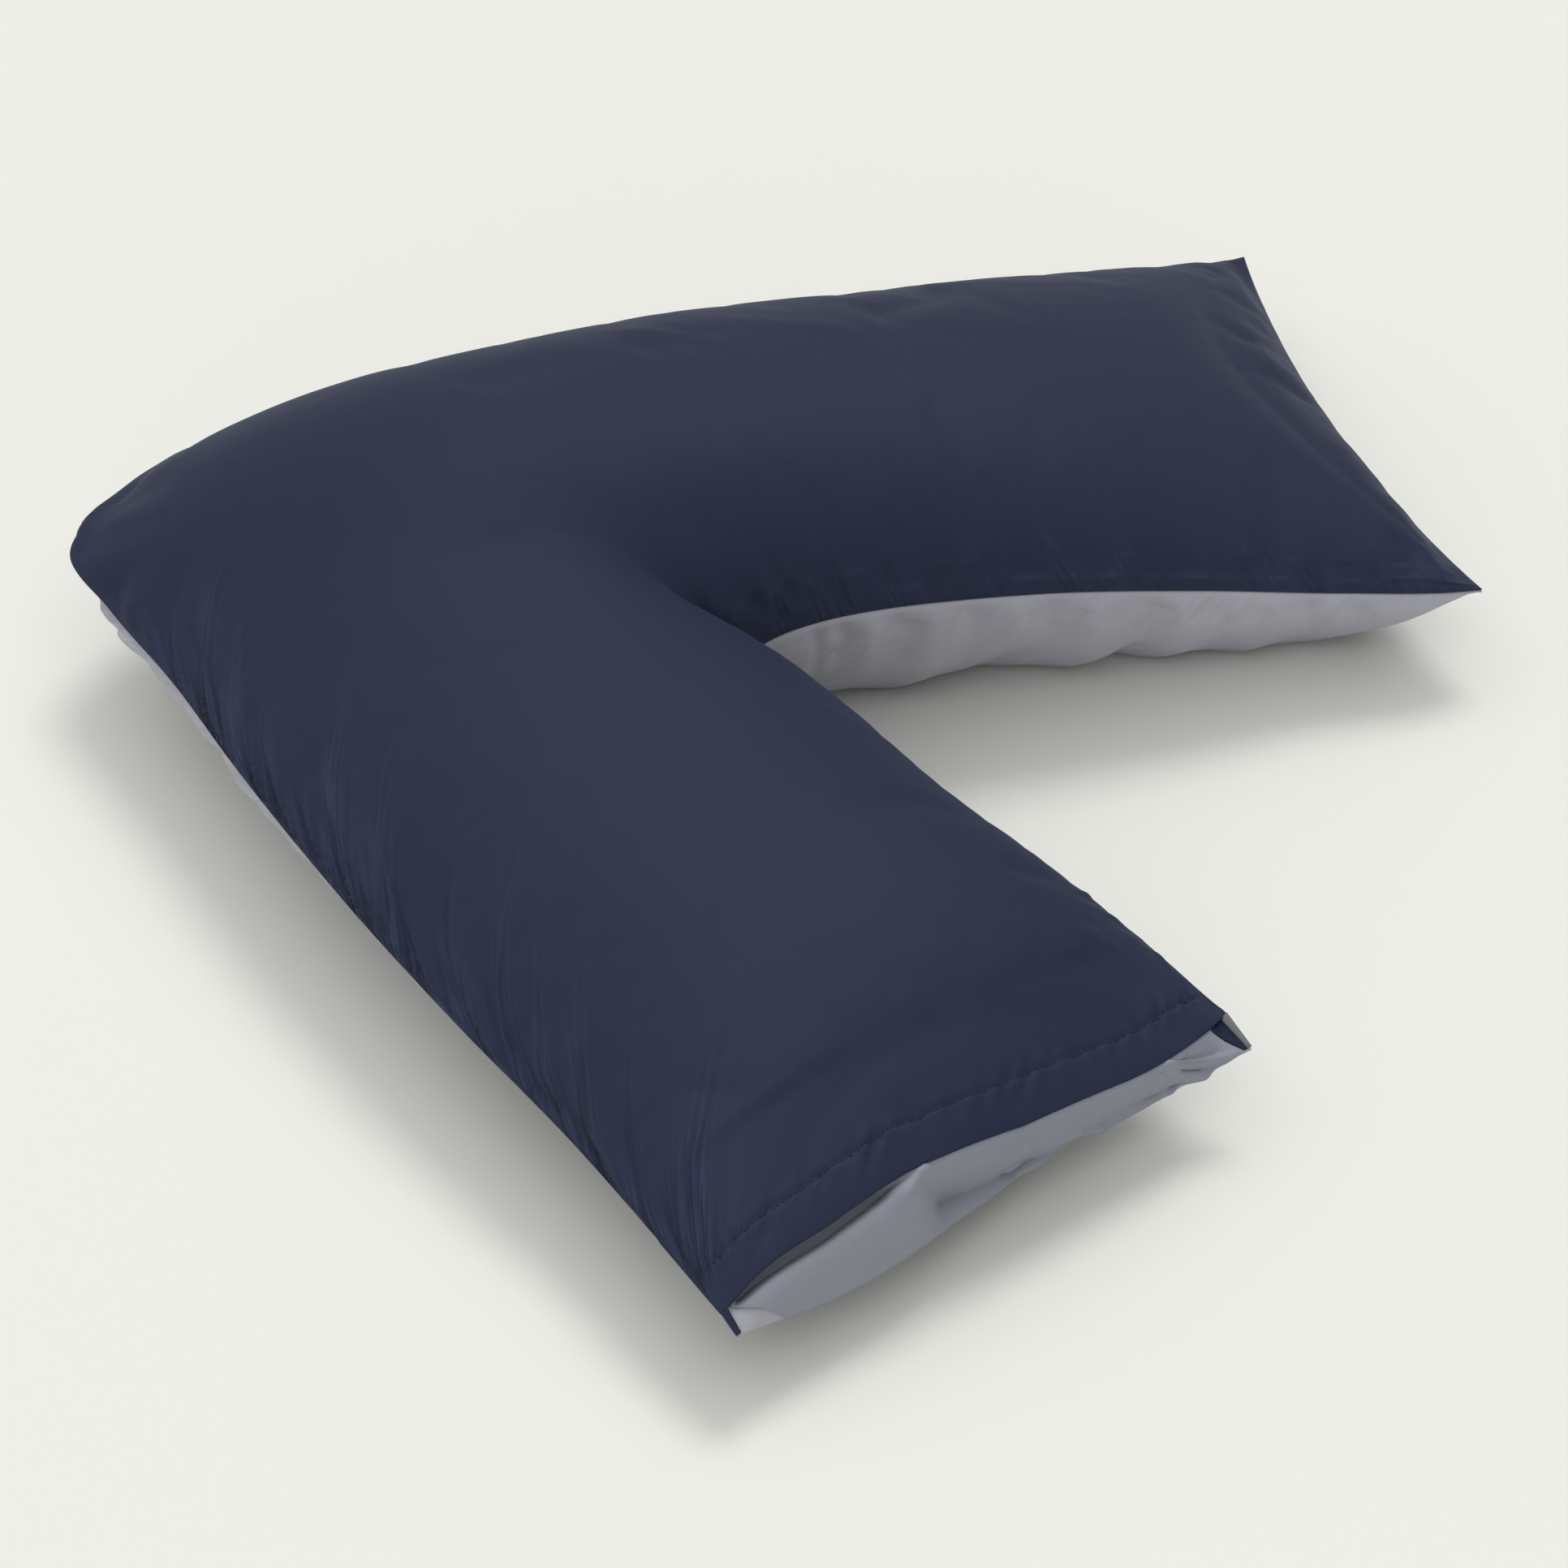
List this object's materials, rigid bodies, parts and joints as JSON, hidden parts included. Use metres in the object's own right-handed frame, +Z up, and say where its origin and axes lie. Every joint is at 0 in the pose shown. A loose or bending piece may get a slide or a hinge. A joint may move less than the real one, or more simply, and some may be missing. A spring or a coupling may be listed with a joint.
{
  "type": "v-shaped pillow",
  "caption": "V-shaped filled bed pillow in a two-coloured cotton case, one arm's end sewn shut and the other a hemmed mouth with a turned-in flap, lying on its back.",
  "frame": {"origin": "on the surface the pillow lies on, below the middle of its bounding box", "axes": "+Z up out of the surface, +X from the V's outer corner along the arm whose end is sewn shut, -Y from that corner along the arm with the open mouth"},
  "size_m": [0.7924, 0.7927, 0.2062],
  "materials": {
    "navy_cotton": "matte",
    "grey_cotton": "matte",
    "grey_flap_cotton": "matte"
  },
  "bodies": {
    "root": {"top_panel": "navy_cotton", "bottom_panel": "grey_cotton", "inner_flap": "grey_flap_cotton"}
  },
  "joints": []
}
